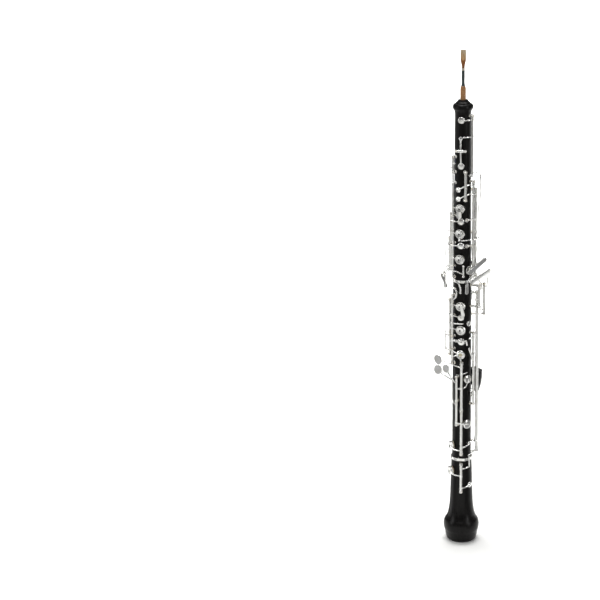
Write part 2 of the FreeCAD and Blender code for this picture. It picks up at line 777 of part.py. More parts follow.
def trill_pad_upper():
    return trill_pad_lever(TRILL_UPPER_HOLE, 485.6, 486.2, 482.7, 500.9)


def trill_pad_lower():
    return trill_pad_lever(TRILL_LOWER_HOLE, 473.3, 474.0, 468.1, 482.5)


def upper_trill_key():
    """Long key for the right hand that opens the upper trill pad."""
    line = UPPER_TRILL_LINE
    low, high = between(364.5, 489.5)
    pieces = [
        collar(line, 486.3),
        arm([(76, 15.2, 486.3), (66, 17.4, 486.0), (55, 16.7, 486.0)], 0.8),
        collar(line, 368.6),
        arm([(76, 15.2, 368.6), (58, 16.4, 366.4), (38, 16.2, 361.0), (34, 16.2, 354.0)]),
        touch(34, 15.6, (0, 350.5), 14, 4.6),
    ]
    return hinged(line, low, high, pieces)


def lower_trill_key():
    """Left-hand key that opens the lower trill pad."""
    line = UPPER_RIGHT_LINE
    low, high = between(422.5, 478.5)
    pieces = [
        collar(line, 474.3),
        arm([(97, 16.6, 474.3), (84, 18.6, 474.2), (74, 18.7, 474.0), (62, 17.4, 474.0),
             (55, 16.7, 474.0)], 0.8),
        collar(line, 460.0),
        arm([(97, 16.6, 460.0), (100, 19.6, 458.0)]),
        touch(98, 19.4, (0.0, 450.0), 20, 6.5),
    ]
    return hinged(line, low, high, pieces)


def half_hole_key():
    """Half-hole plate: finger plate with a small vent and a rounded lobe below it."""
    line = UPPER_STACK_LINE
    low, high = between(445.5, 488.0)
    lobe = touch(-3, cup_back(B_HOLE) + 0.1, (0, 447.8), 10, 7.2)
    pieces = [
        finger_plate(B_HOLE, 4.5),
        lobe,
        collar(line, 457.0),
        cup_arm(line, 457.0, B_HOLE),
    ]
    key = hinged(line, low, high, pieces).cut(pad(B_HOLE))
    return turned_open(key, line, -PLATE_OPEN)


def stack_plate_key(line, low, high, hole, plate_radius, arm_height, extras=()):
    """Finger plate on a stack: plate, arm and collar on one tube, built shut."""
    pieces = [
        finger_plate(hole, plate_radius),
        cup_arm(line, arm_height, hole),
        collar(line, arm_height),
    ]
    return hinged(line, low, high, pieces + list(extras)).cut(pad(hole))


def a_key():
    low, high = between(410.0, 445.5)
    tab = arm([(1, 13.9, 418.0), (0, 14.9, 414.8)], 1.2)
    key = stack_plate_key(UPPER_STACK_LINE, low, high, A_HOLE, 4.7, 424.4, [tab])
    return turned_open(key, UPPER_STACK_LINE, -PLATE_OPEN)


def g_key():
    low, high = between(379.5, 410.0)
    key = stack_plate_key(UPPER_STACK_LINE, low, high, G_HOLE, 4.6, 391.2)
    return turned_open(key, UPPER_STACK_LINE, -PLATE_OPEN)


def c_vent_key():
    """Side key for the C vent: small cup high up, touch for the right forefinger below."""
    line = C_VENT_LINE
    low, high = between(374.0, 447.5)
    pieces = [
        cup(C_VENT_HOLE, 0.8),
        collar(line, 439.3),
        cup_arm(line, 439.3, C_VENT_HOLE, over=(-42, 18.2, 439.2)),
        collar(line, 377.5),
        arm([(-58, 15.5, 377.5), (-60, 19.2, 376.0), (-72, 21.6, 368.0)]),
        arm([(-58, 15.5, 424.5), (-72, 18.8, 424.2), (-80, 21.0, 426.0), (-80, 21.0, 437.0)], 0.7),
        touch(-64, 20.6, (-6.0, 358.0), 22, 5.6),
    ]
    return with_pad(hinged(line, low, high, pieces), C_VENT_HOLE)


def b_flat_vent_key():
    """Side key for the B-flat vent."""
    line = B_FLAT_VENT_LINE
    low, high = between(372.0, 414.5)
    pieces = [
        cup(B_FLAT_VENT_HOLE, 0.8),
        collar(line, 407.6),
        arm([(-75, 16.3, 407.6), (-58, 19.0, 407.6), (-42, 18.4, 407.5), (-17, 14.1, 407.2),
             (3, cup_back(B_FLAT_VENT_HOLE) + 0.1, 406.8)]),
        collar(line, 377.4),
        arm([(-75, 16.3, 377.4), (-78, 19.8, 376.8), (-90, 23.6, 370.0), (-97, 26.6, 361.5)]),
        arm([(-75, 16.3, 399.0), (-84, 20.4, 398.5), (-88, 22.0, 397.0), (-88, 22.0, 389.0)], 0.7),
        touch(-95, 24.6, (-1.5, 355.0), 20, 6.4, lean=24),
    ]
    return with_pad(hinged(line, low, high, pieces), B_FLAT_VENT_HOLE)


def a_linkage_lever():
    """Link lever that reaches under the A plate's tab."""
    line = UPPER_RIGHT_LINE
    low, high = between(400.5, 422.5)
    pieces = [
        collar(line, 414.6),
        arm([(97, 16.6, 414.6), (88, 18.7, 414.6), (74, 18.6, 414.5), (60, 15.4, 414.4),
             (30, 13.1, 414.2), (6, 12.7, 413.8)], 0.8),
        arm([(97, 16.6, 414.6), (104, 20.6, 414.6)], 1.0),
    ]
    return hinged(line, low, high, pieces)


def g_sharp_key():
    """Closed G-sharp key: cup at the back, rounded touch for the left little finger."""
    line = UPPER_RIGHT_LINE
    low, high = between(364.5, 400.5)
    pieces = [
        cup(G_SHARP_HOLE, 0.8),
        collar(line, 381.0),
        cup_arm(line, 381.0, G_SHARP_HOLE),
        collar(line, 374.0),
        arm([(97, 16.6, 374.0), (88, 18.8, 374.0), (74, 18.7, 374.0), (58, 16.6, 374.0)]),
        touch(42, 15.6, (1.0, 375.0), 11, 9),
    ]
    return with_pad(hinged(line, low, high, pieces), G_SHARP_HOLE)


def bridge_lever():
    """Small bridge lever that carries the stack's motion across the middle joint."""
    line = UPPER_STACK_LINE
    low, high = between(365.0, 379.5)
    rail = arm([(18, 14.6, 380.5), (18, 14.6, 367.0)], 1.1)
    knobs = [Part.makeSphere(1.7, polar(18, 14.6, height)) for height in (380.5, 367.0)]
    pieces = [
        collar(line, 373.0),
        arm([(-42, 14.8, 373.0), (-18, 14.9, 373.5), (6, 14.7, 371.5), (18, 14.6, 370.0)], 0.8),
        arm([(-42, 14.8, 369.4), (-32, 18.2, 367.0), (-14, 19.2, 363.0), (0, 19.2, 358.5),
             (6, 18.8, 352.5), (6, 18.2, 347.0)], 1.0),
        Part.makeSphere(1.5, polar(6, 18.0, 346.5)),
        rail,
    ]
    return hinged(line, low, high, pieces + knobs)


# ---------------------------------------------------------------- keys of the lower joint
def f_sharp_key():
    """F-sharp plate with a long tail down to the vent below it."""
    low, high = between(313.5, 340.5)
    tail = touch(12, cup_back(F_SHARP_HOLE) + 0.25, (1.2, 321.5), 15, 4.4, tilt=14)
    hook = arm([(-38, 16.0, 336.6), (-22, 18.4, 336.6), (-8, 18.8, 341.0), (-5, 18.6, 347.0),
                (-12, 18.6, 352.0), (-30, 18.8, 353.0)], 1.0)
    key = stack_plate_key(
        LOWER_STACK_LINE, low, high, F_SHARP_HOLE, 4.7, 329.0, [tail, hook])
    return turned_open(key, LOWER_STACK_LINE, -PLATE_OPEN)


def f_sharp_vent_key():
    """Small vent key under the F-sharp plate, on the outer left rod."""
    line = LOWER_LEFT_LINE
    low, high = 306.6, 334.5 - BALL_HALF_WIDTH - END_GAP
    pieces = [
        cup(F_SHARP_VENT_HOLE, 0.2),
        collar(line, 316.0),
        cup_arm(line, 316.0, F_SHARP_VENT_HOLE, over=(-38, 19.3, 316.0)),
    ]
    return with_pad(hinged(line, low, high, pieces), F_SHARP_VENT_HOLE)


def f_resonance_key():
    """Long arm right across the front to a small vent on the other side."""
    line = LOWER_LEFT_LINE
    low, high = 291.2 + BALL_HALF_WIDTH + END_GAP, 306.4
    pieces = [
        cup(F_RESONANCE_HOLE, 0.4),
        collar(line, 304.2),
        arm([(-56, 16.8, 304.2), (-38, 19.2, 304.2), (-12, 16.2, 304.2), (16, 15.6, 304.2),
             (40, 15.0, 303.8), (56, cup_back(F_RESONANCE_HOLE) + 0.1, 303.0)]),
    ]
    return with_pad(hinged(line, low, high, pieces), F_RESONANCE_HOLE)


def e_key():
    low, high = between(286.0, 313.5)
    key = stack_plate_key(LOWER_STACK_LINE, low, high, E_HOLE, 4.8, 297.0)
    return turned_open(key, LOWER_STACK_LINE, -PLATE_OPEN)


def f_key():
    """F key: closed cup under a square bracket that the third finger slides to."""
    line = LOWER_STACK_LINE
    low, high = between(269.0, 286.0)
    pieces = [
        cup(F_HOLE),
        collar(line, 279.6),
        cup_arm(line, 279.6, F_HOLE),
        arm([(-38, 16.0, 281.0), (-24, 16.6, 281.4), (10, 16.4, 281.6), (32, 16.3, 281.0),
             (36, 16.2, 275.5)], 1.1),
        arm([(9, 14.2, 279.0), (9, 16.4, 281.4)], 1.0),
    ]
    return hinged(line, low, high, pieces)


def ring_plate(hole, hole_radius, outer):
    """Pad cup with an open ring on its back."""
    angle, height, pad_radius, _ = hole
    start = seat_distance(hole) + PAD_GAP
    radius = pad_radius + 0.45
    outline = [
        (hole_radius, start + PAD_THICKNESS),
        (pad_radius, start + PAD_THICKNESS),
        (pad_radius, start + CUP_START),
        (radius, start + CUP_START),
        (radius, start + 2.6),
        (radius - 0.5, start + 3.0),
        (outer, start + 3.2),
        (outer - 0.3, start + 3.9),
        (outer - 0.9, start + 4.2),
        (hole_radius + 0.5, start + 4.0),
        (hole_radius, start + 3.6),
    ]
    return outward(turned(outline), angle, height)


def d_key():
    """D key: open ring plate on the lowest stack tube."""
    line = LOWER_STACK_LINE
    low, high = between(249.5, 269.0)
    pieces = [
        ring_plate(D_HOLE, 2.3, 4.9),
        collar(line, 258.0),
        cup_arm(line, 258.0, D_HOLE, reach=-22.0),
        arm([(-38, 16.0, 265.0), (-24, 16.2, 265.5), (-13, 14.8, 264.6)]),
        arm([(8, 14.0, 257.4), (10, 14.4, 254.2)], 1.0),
    ]
    key = hinged(line, low, high, pieces).cut(pad(D_HOLE))
    return turned_open(key, line, -PLATE_OPEN)


def side_lever():
    """Long upright touch for the side of the right hand."""
    line = LOWER_LEFT_LINE
    low, high = between(260.5, 291.2)
    pieces = [
        collar(line, 266.0),
        arm([(-56, 16.8, 266.0), (-64, 20.6, 266.5), (-68, 21.6, 270.0)]),
        collar(line, 286.0),
        arm([(-56, 16.8, 286.0), (-66, 21.2, 286.0)]),
        touch(-70, 21.0, (0.0, 279.0), 28, 5.4),
    ]
    return hinged(line, low, high, pieces)


def e_flat_key():
    """Closed E-flat key for the right little finger."""
    line = LITTLE_FINGER_LINE
    low, high = between(199.0, 232.0)
    pieces = [
        cup(E_FLAT_HOLE, 0.9),
        collar(line, 217.5),
        arm([(-11, 16.8, 217.5), (0, 19.9, 217.3), (12, 20.4, 217.4), (26, 18.6, 219.0),
             (40, 15.2, 223.0), (49, cup_back(E_FLAT_HOLE) + 0.4, 227.0)]),
        collar(line, 225.0),
        arm([(-11, 16.8, 225.0), (-14, 20.6, 226.0), (-26, 22.4, 232.0), (-38, 23.5, 239.5)]),
        touch(-20, 22.4, (-9.5, 243.0), 11.0, 9.5),
    ]
    return hinged(line, low, high, pieces)


def c_sharp_key():
    """Closed C-sharp key for the right little finger, on the lower half of the same rod."""
    line = LITTLE_FINGER_LINE
    low, high = between(165.7, 199.0)
    pieces = [
        cup(C_SHARP_HOLE, 0.9),
        collar(line, 169.6),
        arm([(-11, 16.8, 169.6), (0, 19.9, 169.4), (12, 20.4, 169.0), (26, 18.6, 168.0),
             (38, 15.4, 166.6), (46, cup_back(C_SHARP_HOLE) + 0.4, 165.8)]),
        collar(line, 194.0),
        arm([(-11, 16.8, 194.0), (-24, 18.2, 197.0), (-27, 19.0, 202.0), (-27, 19.0, 226.0),
             (-38, 23.0, 231.0), (-48, 26.2, 233.5), (-58, 29.3, 236.0)]),
        touch(-20, 23.0, (-21.5, 239.5), 13.0, 11.5, tilt=-20),
    ]
    return hinged(line, low, high, pieces)


def c_touch_lever():
    """Right little finger's C lever, with a bent arm that reaches under the C key."""
    line = CENTRE_LINE
    low, high = between(185.0, 250.0)
    pieces = [
        collar(line, 245.0),
        arm([(11, 17.4, 245.0), (-4, 20.4, 248.0), (-26, 23.2, 251.2), (-44, 26.2, 253.0),
             (-56, 29.4, 253.6)]),
        touch(-20, 23.6, (-21.0, 253.4), 13.0, 11.0, tilt=25),
        collar(line, 236.5),
        arm([(11, 17.4, 236.5), (26, 16.2, 237.0), (40, 14.2, 237.6), (72, 13.4, 238.0),
             (91, 13.6, 238.0)], 0.8),
    ]
    return hinged(line, low, high, pieces)


def c_key():
    """Closed C key, its cup behind the long rods, with a curved touch beside the D ring."""
    line = C_LINE
    low, high = between(193.0, 290.0)
    pieces = [
        cup(C_HOLE, 0.9),
        collar(line, 205.0),
        cup_arm(line, 205.0, C_HOLE),
        collar(line, 262.0),
        arm([(72, 17.0, 252.0), (62, 18.6, 254.0), (52, 19.0, 262.0), (42, 18.6, 271.0)], 1.3),
        arm([(72, 17.0, 262.0), (60, 18.9, 262.0), (52, 19.0, 262.0)], 1.0),
        arm([(72, 17.0, 284.0), (56, 17.6, 284.4), (46, 17.2, 284.0)], 1.0),
        arm([(72, 17.0, 238.6), (80, 16.2, 238.4), (90, 15.7, 238.0)], 0.8),
    ]
    return with_pad(hinged(line, low, high, pieces), C_HOLE)


def low_b_key():
    """Standing-open low B key: side cup, and a drive arm on the other side of the rod."""
    line = CENTRE_LINE
    low, high = between(125.0, 185.0)
    pieces = [
        cup(LOW_B_HOLE, 0.9),
        collar(line, 130.4),
        arm([(11, 17.4, 130.4), (-20, 17.2, 131.0), (-42, 16.6, 132.6),
             (-56, cup_back(LOW_B_HOLE) + 0.4, 134.0)]),
        collar(line, 134.4),
        arm([(11, 17.4, 134.4), (30, 18.0, 136.0), (50, 17.9, 139.0)]),
    ]
    return hinged(line, low, high, pieces)


def b_link():
    """Long link that carries the left-hand lever's push down to the low B key."""
    line = B_LINK_LINE
    low, high = between(139.5, 343.5)
    pieces = [
        collar(line, 143.4),
        arm([(92, 19.0, 143.4), (80, 17.2, 142.0), (64, 15.5, 140.0), (48, 15.4, 139.0)], 0.8),
        collar(line, 333.0),
        arm([(92, 19.0, 333.0), (89, 21.4, 333.0), (86.2, 21.85, 332.6), (86.2, 21.85, 328.6)], 0.7),
    ]
    return hinged(line, low, high, pieces)


def b_flat_link():
    """Long link down to the bell's low B-flat key."""
    line = B_FLAT_LINK_LINE
    low, high = between(122.5, 340.0)
    pieces = [
        collar(line, 126.5),
        arm([(118, 20.4, 126.5), (92, 17.6, 125.5), (70, 15.6, 124.0), (52, 15.5, 121.5)], 0.8),
        collar(line, 322.0),
        arm([(118, 20.4, 322.0), (115, 23.6, 322.0), (112.4, 24.4, 321.6),
             (112.4, 24.4, 317.4)], 0.7),
    ]
    return hinged(line, low, high, pieces)


def lever_plate(angle, distance, foot, tip, width):
    """Long finger spatula between two (sideways, height) points of its plane."""
    run = (tip[0] - foot[0], tip[1] - foot[1])
    length = math.hypot(*run) + width
    tilt = math.degrees(math.atan2(-run[0], run[1]))
    centre = ((foot[0] + tip[0]) / 2, (foot[1] + tip[1]) / 2)
    return touch(angle, distance, centre, length, width, tilt=tilt)


def b_lever():
    """Left little finger's low B lever."""
    line = B_LEVER_LINE
    low, high = between(325.5, 353.0)
    pieces = [
        collar(line, 329.4),
        arm([(78, 23.8, 329.4), (81, 21.6, 329.4), (82.9, 20.55, 329.4)], 0.7),
        arm([(78, 23.8, 348.6), (78, 27.8, 349.6), (75, 27.2, 356.0), (64, 22.8, 368.0),
             (58, 22.2, 378.0)]),
        lever_plate(40, 21.0, (-1.5, 374.5), (20.5, 388.0), 6.2),
    ]
    return hinged(line, low, high, pieces)


def b_flat_lever():
    """Left little finger's low B-flat lever."""
    line = B_FLAT_LEVER_LINE
    low, high = between(313.0, 353.0)
    pieces = [
        collar(line, 318.4),
        arm([(105, 28.0, 318.4), (107.5, 25.0, 318.4), (108.9, 23.4, 318.4)], 0.7),
        arm([(105, 28.0, 348.6), (105, 31.6, 349.8), (103, 32.2, 357.0), (95, 32.2, 363.5),
             (84, 29.6, 367.5)]),
        lever_plate(55, 25.5, (-9.0, 363.8), (22.0, 371.5), 6.0),
    ]
    return hinged(line, low, high, pieces)


# ---------------------------------------------------------------- the key on the bell
def low_b_flat_key():
    """Low B-flat key: side cup that stands open, drive bar, and a bell vent that rests shut."""
    line = BELL_LINE
    low, high = between(72.5, 110.0)
    standing_open = [
        cup(LOW_B_FLAT_HOLE, 0.9),
        arm([(11, 18.0, 95.0), (-18, 18.4, 96.4), (-40, 18.0, 98.0),
             (-52, cup_back(LOW_B_FLAT_HOLE) + 0.4, 99.0)]),
        arm([(11, 18.0, 105.0), (30, 18.6, 106.0), (48, 18.4, 107.0), (48, 18.0, 121.5)]),
    ]
    pieces = [turned_open(piece, line, LOW_B_FLAT_OPEN) for piece in standing_open]
    pieces += [
        collar(line, 95.0),
        collar(line, 105.0),
        collar(line, 77.6),
        cup(BELL_VENT_HOLE, 0.5),
        cup_arm(line, 77.6, BELL_VENT_HOLE),
    ]
    return with_pad(hinged(line, low, high, pieces), BELL_VENT_HOLE)


# ---------------------------------------------------------------- all the pieces
def build():
    posts = {
        "upper_posts": upper_posts(),
        "lower_posts": lower_posts(),
        "bell_posts": bell_posts(),
    }
    plate = thumb_rest_plate()
    screws = thumb_rest_screws()
    nodes = {
        "upper_joint": upper_joint().cut(posts["upper_posts"]),
        "lower_joint": lower_joint().cut(posts["lower_posts"]).cut(screws),
        "bell": bell().cut(posts["bell_posts"]),
        "tenon_corks": tenon_corks(),
        "socket_rings": socket_rings(),
        "reed_cane": reed_blades(),
        "reed_binding": reed_binding(),
        "reed_staple": reed_staple(),
        "reed_cork": reed_cork(),
        "hinge_rods": hinge_rods(),
        "needle_springs": needle_springs(),
        "thumb_rest_plate": plate,
        "thumb_rest_saddle": thumb_rest_saddle(),
        "thumb_rest_screws": screws,
        "side_octave_key": side_octave_key(),
        "octave_rocker": octave_rocker(),
        "thumb_octave_key": thumb_octave_key(),
        "trill_pad_upper": trill_pad_upper(),
        "trill_pad_lower": trill_pad_lower(),
        "upper_trill_key": upper_trill_key(),
        "lower_trill_key": lower_trill_key(),
        "half_hole_key": half_hole_key(),
        "half_hole_pad": turned_open(pad(B_HOLE), UPPER_STACK_LINE, -PLATE_OPEN),
        "c_vent_key": c_vent_key(),
        "a_key": a_key(),
        "a_pad": turned_open(pad(A_HOLE), UPPER_STACK_LINE, -PLATE_OPEN),
        "b_flat_vent_key": b_flat_vent_key(),
        "g_key": g_key(),
        "g_pad": turned_open(pad(G_HOLE), UPPER_STACK_LINE, -PLATE_OPEN),
        "g_sharp_key": g_sharp_key(),
        "a_linkage_lever": a_linkage_lever(),
        "bridge_lever": bridge_lever(),
        "f_sharp_key": f_sharp_key(),
        "f_sharp_pad": turned_open(pad(F_SHARP_HOLE), LOWER_STACK_LINE, -PLATE_OPEN),
        "f_sharp_vent_key": f_sharp_vent_key(),
        "f_resonance_key": f_resonance_key(),
        "e_key": e_key(),
        "e_pad": turned_open(pad(E_HOLE), LOWER_STACK_LINE, -PLATE_OPEN),
        "f_key": f_key(),
        "f_pad": pad(F_HOLE),
        "d_key": d_key(),
        "d_pad": turned_open(pad(D_HOLE), LOWER_STACK_LINE, -PLATE_OPEN),
        "side_lever": side_lever(),
        "e_flat_key": e_flat_key(),
        "e_flat_pad": pad(E_FLAT_HOLE),
        "c_sharp_key": c_sharp_key(),
        "c_sharp_pad": pad(C_SHARP_HOLE),
        "c_touch_lever": c_touch_lever(),
        "c_key": c_key(),
        "low_b_key": turned_open(low_b_key(), CENTRE_LINE, LOW_B_OPEN),
        "low_b_pad": turned_open(pad(LOW_B_HOLE), CENTRE_LINE, LOW_B_OPEN),
        "b_link": turned_open(b_link(), B_LINK_LINE, -B_LINK_TURN),
        "b_flat_link": turned_open(b_flat_link(), B_FLAT_LINK_LINE, -B_FLAT_LINK_TURN),
        "b_lever": turned_open(b_lever(), B_LEVER_LINE, B_LEVER_TURN),
        "b_flat_lever": turned_open(b_flat_lever(), B_FLAT_LEVER_LINE, B_FLAT_LEVER_TURN),
        "low_b_flat_key": low_b_flat_key(),
        "low_b_flat_pad": turned_open(pad(LOW_B_FLAT_HOLE), BELL_LINE, LOW_B_FLAT_OPEN),
    }
    nodes.update(posts)
    return nodes


def main():
    os.makedirs("parts", exist_ok=True)
    for name, shape in build().items():
        shape.exportStep("parts/" + name + ".step")
        print(name, len(shape.Solids), round(shape.Volume, 1), shape.isValid())


if __name__ == "__main__":
    main()
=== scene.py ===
import json
import math
import bpy
import numpy as np
from mathutils import Matrix


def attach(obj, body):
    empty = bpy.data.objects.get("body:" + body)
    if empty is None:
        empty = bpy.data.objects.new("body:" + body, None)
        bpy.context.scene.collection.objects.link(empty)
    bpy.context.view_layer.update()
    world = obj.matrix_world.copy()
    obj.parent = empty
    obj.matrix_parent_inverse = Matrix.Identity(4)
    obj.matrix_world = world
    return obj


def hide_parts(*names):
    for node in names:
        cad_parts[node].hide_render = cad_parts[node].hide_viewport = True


# A full-system oboe standing on its bell. +Z runs up the bore, the finger holes face -Y.
# Lengths in the dictionaries are millimetres unless they say otherwise.
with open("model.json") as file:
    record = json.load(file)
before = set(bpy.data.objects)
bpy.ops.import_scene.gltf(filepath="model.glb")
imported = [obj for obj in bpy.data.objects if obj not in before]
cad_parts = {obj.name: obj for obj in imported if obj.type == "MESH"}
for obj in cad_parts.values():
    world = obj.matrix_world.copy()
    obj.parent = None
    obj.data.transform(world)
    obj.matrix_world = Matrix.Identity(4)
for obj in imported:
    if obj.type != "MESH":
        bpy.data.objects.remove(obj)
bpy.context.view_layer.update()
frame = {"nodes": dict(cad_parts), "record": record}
nodes = frame["nodes"]
scene = bpy.context.scene
print("frame loaded:", len(nodes), "nodes")


def linearColour(code, alpha=1.0):
    # sRGB hex to linear light: c/12.92 below 0.04045, else ((c + 0.055)/1.055)^2.4
    parts = [int(code[i:i + 2], 16) / 255 for i in (1, 3, 5)]
    return [c / 12.92 if c <= 0.04045 else ((c + 0.055) / 1.055) ** 2.4 for c in parts] + [alpha]


def addNode(tree, kind, links=None, inputs=None, **settings):
    # one node: settings are its own properties, inputs its socket values, links what feeds it
    node = tree.nodes.new(kind)
    for name, value in settings.items():
        setattr(node, name, value)
    for name, value in (inputs or {}).items():
        node.inputs[name].default_value = value
    for name, source in (links or {}).items():
        tree.links.new(source, node.inputs[name])
    return node


def newMaterial(name, colour, roughness, metallic=0.0, **sockets):
    material = bpy.data.materials.new(name)
    material.use_nodes = True
    tree = material.node_tree
    shader = tree.nodes["Principled BSDF"]
    shader.inputs["Base Color"].default_value = linearColour(colour)
    shader.inputs["Roughness"].default_value = roughness
    shader.inputs["Metallic"].default_value = metallic
    for socket, value in sockets.items():
        shader.inputs[socket.replace("_", " ")].default_value = value
    place = addNode(tree, "ShaderNodeTexCoord").outputs["Object"]
    return material, tree, shader, place


def stretched(tree, place, perMillimetre):
    # Object coordinates are metres: this gives so many pattern units to each millimetre
    return addNode(tree, "ShaderNodeMapping", {"Vector": place},
                   {"Scale": [1000 * s for s in perMillimetre]}).outputs["Vector"]


def ramp(tree, source, stops):
    node = addNode(tree, "ShaderNodeValToRGB", {"Fac": source})
    elements = node.color_ramp.elements
    while len(elements) < len(stops):
        elements.new(0.5)
    for element, (position, colour) in zip(elements, stops):
        element.position = position
        element.color = linearColour(colour) if isinstance(colour, str) else [colour] * 3 + [1.0]
    return node.outputs["Color"]


def relief(tree, shader, source, depth, strength=1.0, edgeRadius=0.0):
    # depth in millimetres between the pattern's dark and light; edgeRadius softens the edges
    bump = addNode(tree, "ShaderNodeBump", {"Height": source},
                   {"Distance": depth / 1000, "Strength": strength})
    if edgeRadius:
        soft = addNode(tree, "ShaderNodeBevel", inputs={"Radius": edgeRadius / 1000}, samples=4)
        tree.links.new(soft.outputs["Normal"], bump.inputs["Normal"])
    tree.links.new(bump.outputs["Normal"], shader.inputs["Normal"])
    return bump


# African blackwood, turned, oiled and buffed: almost black with fine brown-grey streaks along
# the bore, short open pores, and a satin sheen that shows soft upright highlights
grenadilla = {"base": "#040303", "streak": "#110c0a", "poreLength": 2.4, "poreWidth": 0.12,
              "streakLength": 60.0, "streakWidth": 1.6, "roughness": 0.30}


def makeGrenadilla():
    g = grenadilla
    material, tree, shader, place = newMaterial(
        "turned_oiled_grenadilla", g["base"], g["roughness"], IOR=1.5, Specular_IOR_Level=0.17)
    streaks = addNode(tree, "ShaderNodeTexNoise", {"Vector": stretched(tree, place, (
        1 / g["streakWidth"], 1 / g["streakWidth"], 1 / g["streakLength"]))},
        {"Scale": 1.0, "Detail": 5.0, "Roughness": 0.62, "Distortion": 0.35})
    tree.links.new(ramp(tree, streaks.outputs["Fac"], [
        (0.36, g["base"]), (0.58, "#090706"), (0.72, g["streak"])]), shader.inputs["Base Color"])
    pores = addNode(tree, "ShaderNodeTexNoise", {"Vector": stretched(tree, place, (
        1 / g["poreWidth"] / 3, 1 / g["poreWidth"] / 3, 1 / g["poreLength"]))},
        {"Scale": 1.0, "Detail": 3.0, "Roughness": 0.7})
    pit = ramp(tree, pores.outputs["Fac"], [(0.30, 0.0), (0.42, 1.0)])
    relief(tree, shader, pit, 0.015, 0.5)
    gloss = addNode(tree, "ShaderNodeMapRange", {"Value": streaks.outputs["Fac"]},
                    {"From Min": 0.3, "From Max": 0.7, "To Min": g["roughness"] - 0.05,
                     "To Max": g["roughness"] + 0.08})
    tree.links.new(gloss.outputs["Result"], shader.inputs["Roughness"])
    return material


# Nickel silver, forged and brazed, buffed and silver-plated: bright warm white, with hairline
# buffing marks and a faint yellow haze where fingers and cloths don't reach
silver = {"clean": "#f2f2f0", "haze": "#dcdad4", "hairWidth": 0.06, "hazeSize": 9.0,
          "roughness": 0.09, "edgeRadius": 0.28}


def makeSilver(name, roughness, haze):
    material, tree, shader, place = newMaterial(name, silver["clean"], roughness, 1.0)
    cloud = addNode(tree, "ShaderNodeTexNoise", {"Vector": stretched(tree, place, [1 / silver["hazeSize"]] * 3)},
                    {"Scale": 1.0, "Detail": 4.0, "Roughness": 0.55})
    tree.links.new(ramp(tree, cloud.outputs["Fac"], [(0.42, silver["clean"]), (0.75, haze)]),
                   shader.inputs["Base Color"])
    # buffing hairs are a few microns across; drawn 0.06 mm wide so that they show
    hairs = addNode(tree, "ShaderNodeTexNoise", {"Vector": stretched(tree, place, (
        1 / silver["hairWidth"] / 4, 1 / silver["hairWidth"] / 4, 0.5))},
        {"Scale": 1.0, "Detail": 2.0, "Roughness": 0.6})
    relief(tree, shader, hairs.outputs["Fac"], 0.0012, 0.5, silver["edgeRadius"])
    gloss = addNode(tree, "ShaderNodeMapRange", {"Value": cloud.outputs["Fac"]},
                    {"From Min": 0.35, "From Max": 0.75, "To Min": roughness * 0.8,
                     "To Max": roughness * 1.7})
    tree.links.new(gloss.outputs["Result"], shader.inputs["Roughness"])
    return material


# Free-cutting steel, turned on a lathe: greyer than the silver, with ring-shaped tool marks
def makeTurnedSteel():
    material, tree, shader, place = newMaterial("turned_steel", "#bfc1c4", 0.28, 1.0)
    marks = addNode(tree, "ShaderNodeTexNoise", {"Vector": stretched(tree, place, (0.3, 0.3, 8.0))},
                    {"Scale": 1.0, "Detail": 2.0})
    relief(tree, shader, marks.outputs["Fac"], 0.002, 0.6)
    tree.links.new(ramp(tree, marks.outputs["Fac"], [(0.35, "#a9abae"), (0.65, "#cfd1d3")]),
                   shader.inputs["Base Color"])
    return material


# Needle spring steel, tempered blue: thin and dark, blue shading to straw
def makeBluedSteel():
    material, tree, shader, place = newMaterial("tempered_blued_steel", "#27345a", 0.26, 1.0)
    tint = addNode(tree, "ShaderNodeTexNoise", {"Vector": stretched(tree, place, (0.2, 0.2, 0.25))},
                   {"Scale": 1.0, "Detail": 2.0})
    tree.links.new(ramp(tree, tint.outputs["Fac"], [(0.40, "#1f2b52"), (0.55, "#39456a"), (0.70, "#6a6152")]),
                   shader.inputs["Base Color"])
    return material


# Cork sheet, wrapped, glued and sanded: tan with darker lenticels a millimetre or so long
def makeCork(name, base, dark):
    material, tree, shader, place = newMaterial(name, base, 0.78, IOR=1.45)
    cells = addNode(tree, "ShaderNodeTexVoronoi", {"Vector": stretched(tree, place, (1.4, 1.4, 1.0))},
                    {"Scale": 1.0, "Randomness": 1.0})
    flecks = addNode(tree, "ShaderNodeTexNoise", {"Vector": stretched(tree, place, (2.2, 2.2, 0.8))},
                     {"Scale": 1.0, "Detail": 5.0, "Roughness": 0.7})
    mixed = addNode(tree, "ShaderNodeMix", {"A": cells.outputs["Color"], "B": flecks.outputs["Fac"]},
                    {"Factor": 0.7})
    tree.links.new(ramp(tree, flecks.outputs["Fac"], [
        (0.30, dark), (0.42, base), (0.70, "#c79a69")]), shader.inputs["Base Color"])
    relief(tree, shader, mixed.outputs["Result"], 0.06, 0.8)
    return material


# Reed cane, gouged, shaped and scraped: straw gold with fibres along it; the scraped tip is
# paler and greyer, and the bark left near the thread is browner and glossier
cane = {"tip": "#c9bba2", "heart": "#c08f5e", "bark": "#94602f", "foot": "#6d4424",
        "fibreWidth": 0.18}


